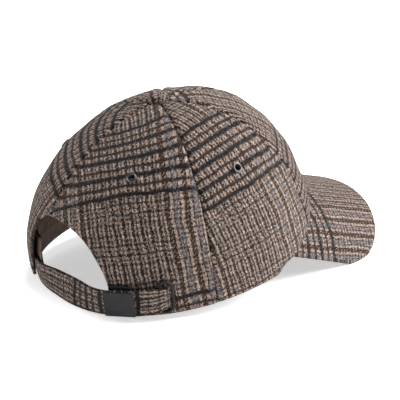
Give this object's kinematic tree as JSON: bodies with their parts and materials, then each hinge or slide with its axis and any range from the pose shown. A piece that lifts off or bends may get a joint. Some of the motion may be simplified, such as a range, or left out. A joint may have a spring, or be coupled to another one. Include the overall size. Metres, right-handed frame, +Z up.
{
  "type": "baseball cap",
  "caption": "Soft fabric cap with a sewn gored crown, a curved peak, an arched opening at the back and an adjusting strap with a slide buckle.",
  "frame": {"origin": "the middle of the box round the cap, on the surface that it rests on", "axes": "+Z up from the surface; the peak points along -Y and the arched opening along +Y; +X is the wearer's left"},
  "size_m": [0.167, 0.2524, 0.1244],
  "materials": {
    "check_cloth": "brushed wool in a taupe, brown, blue-grey and black glen plaid",
    "band_cloth": "smooth dark brown twill",
    "eyelet_metal": "polished gunmetal",
    "black_metal": "matt black"
  },
  "bodies": {
    "root": {"front_right_panel": "check_cloth", "front_left_panel": "check_cloth", "side_right_panel": "check_cloth", "side_left_panel": "check_cloth", "back_right_panel": "check_cloth", "back_left_panel": "check_cloth", "top_button": "check_cloth", "peak": "check_cloth", "back_strap": "check_cloth", "sweatband": "band_cloth", "side_right_eyelet": "eyelet_metal", "side_left_eyelet": "eyelet_metal", "back_right_eyelet": "eyelet_metal", "back_left_eyelet": "eyelet_metal", "tuck_grommet": "black_metal", "buckle_plate": "black_metal", "buckle_frame": "black_metal"}
  },
  "joints": []
}
